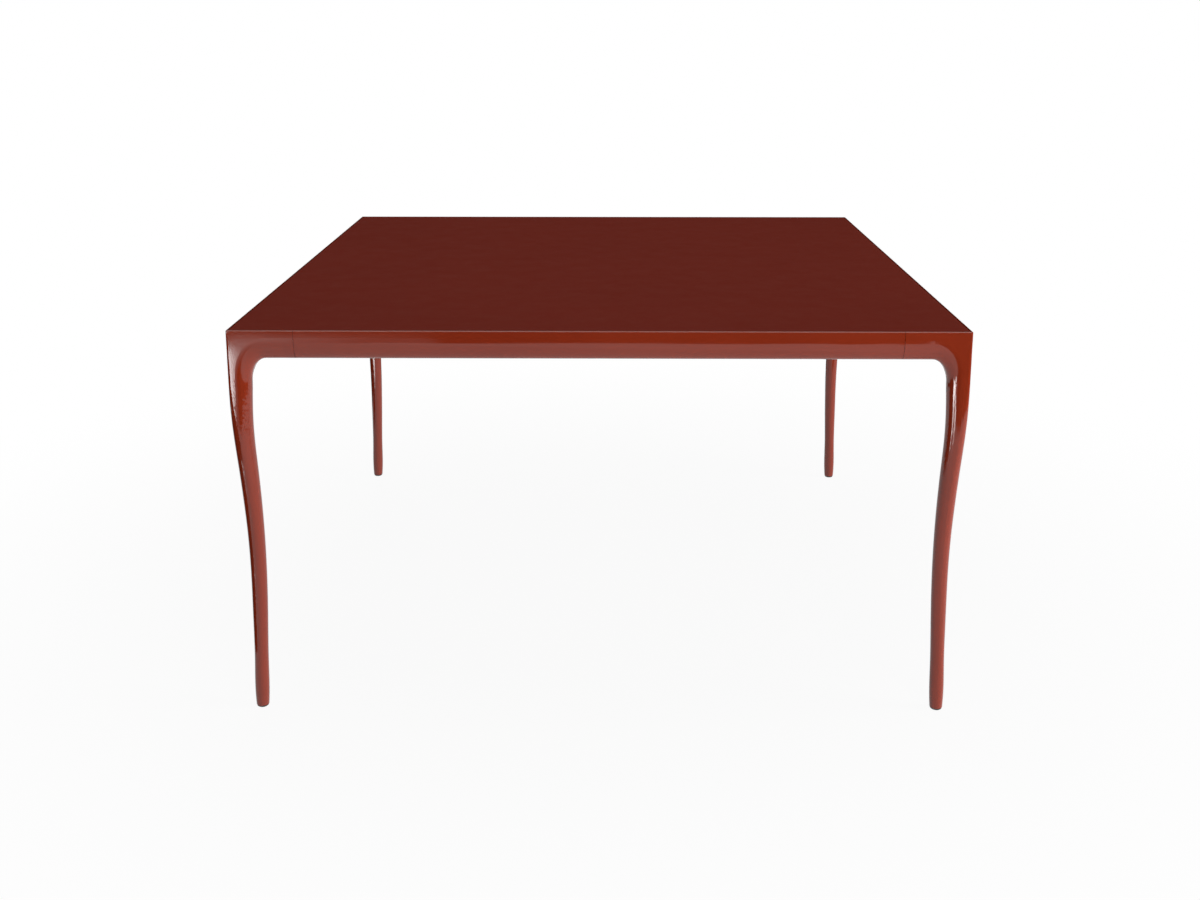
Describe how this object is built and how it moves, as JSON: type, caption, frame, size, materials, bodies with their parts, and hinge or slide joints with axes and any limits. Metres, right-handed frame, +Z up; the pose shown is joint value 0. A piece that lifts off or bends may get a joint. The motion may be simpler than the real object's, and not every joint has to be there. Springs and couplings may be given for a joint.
{
  "type": "square dining table",
  "caption": "Square dining table: a flush panel in a slim frame with a rounded underside, on cast corner legs that curve in a slight S to round feet.",
  "frame": {"origin": "on the floor, under the middle of the top", "axes": "+Z up; the front edge of the table faces -Y and +X is to the right, seen from the front"},
  "size_m": [1.35, 1.35, 0.75],
  "materials": {
    "top_panel": "board with a matt dark red-brown lacquer, fine even texture",
    "frame_paint": "aluminium under a smooth satin dark red enamel",
    "bar_paint": "aluminium tube under a matt dark red-brown powder coat",
    "bare_aluminium": "sawn and extruded, mill finish",
    "bracket_steel": "zinc-plated sheet, dull",
    "zinc_steel": "zinc-plated, bright",
    "insert_brass": "turned",
    "foam_tape": "matt black foam tape",
    "glide_plastic": "moulded, dark brown-black, matt"
  },
  "bodies": {
    "frame": {"bar_bracket_back_left": "bracket_steel", "bar_bracket_back_right": "bracket_steel", "bar_bracket_front_left": "bracket_steel", "bar_bracket_front_right": "bracket_steel", "bar_bracket_screws": "zinc_steel", "bar_pad_left": "foam_tape", "bar_pad_right": "foam_tape", "corner_leg_back_left": "frame_paint", "corner_leg_back_right": "frame_paint", "corner_leg_front_left": "frame_paint", "corner_leg_front_right": "frame_paint", "cross_bar_left": "bar_paint", "cross_bar_right": "bar_paint", "foot_insert_back_left": "insert_brass", "foot_insert_back_right": "insert_brass", "foot_insert_front_left": "insert_brass", "foot_insert_front_right": "insert_brass", "gasket_back": "foam_tape", "gasket_front": "foam_tape", "gasket_left": "foam_tape", "gasket_right": "foam_tape", "joint_key_back_left": "bare_aluminium", "joint_key_back_right": "bare_aluminium", "joint_key_front_left": "bare_aluminium", "joint_key_front_right": "bare_aluminium", "joint_key_left_back": "bare_aluminium", "joint_key_left_front": "bare_aluminium", "joint_key_right_back": "bare_aluminium", "joint_key_right_front": "bare_aluminium", "joint_screws": "zinc_steel", "panel_bracket_back_left": "bracket_steel", "panel_bracket_back_right": "bracket_steel", "panel_bracket_front_left": "bracket_steel", "panel_bracket_front_right": "bracket_steel", "panel_bracket_left_back": "bracket_steel", "panel_bracket_left_front": "bracket_steel", "panel_bracket_right_back": "bracket_steel", "panel_bracket_right_front": "bracket_steel", "panel_bracket_screws": "zinc_steel", "panel_screws": "zinc_steel", "rail_back": "frame_paint", "rail_front": "frame_paint", "rail_left": "frame_paint", "rail_right": "frame_paint", "top_panel": "top_panel"},
    "glide_front_left": {"glide_pad_front_left": "glide_plastic", "glide_stud_front_left": "zinc_steel"},
    "glide_front_right": {"glide_pad_front_right": "glide_plastic", "glide_stud_front_right": "zinc_steel"},
    "glide_back_right": {"glide_pad_back_right": "glide_plastic", "glide_stud_back_right": "zinc_steel"},
    "glide_back_left": {"glide_pad_back_left": "glide_plastic", "glide_stud_back_left": "zinc_steel"}
  },
  "joints": [
    {"name": "glide_slide_front_left", "type": "slide", "parent": "frame", "child": "glide_front_left", "axis": [0, 0, -1], "range_m": [0, 0.008]},
    {"name": "glide_slide_front_right", "type": "slide", "parent": "frame", "child": "glide_front_right", "axis": [0, 0, -1], "range_m": [0, 0.008]},
    {"name": "glide_slide_back_right", "type": "slide", "parent": "frame", "child": "glide_back_right", "axis": [0, 0, -1], "range_m": [0, 0.008]},
    {"name": "glide_slide_back_left", "type": "slide", "parent": "frame", "child": "glide_back_left", "axis": [0, 0, -1], "range_m": [0, 0.008]}
  ]
}
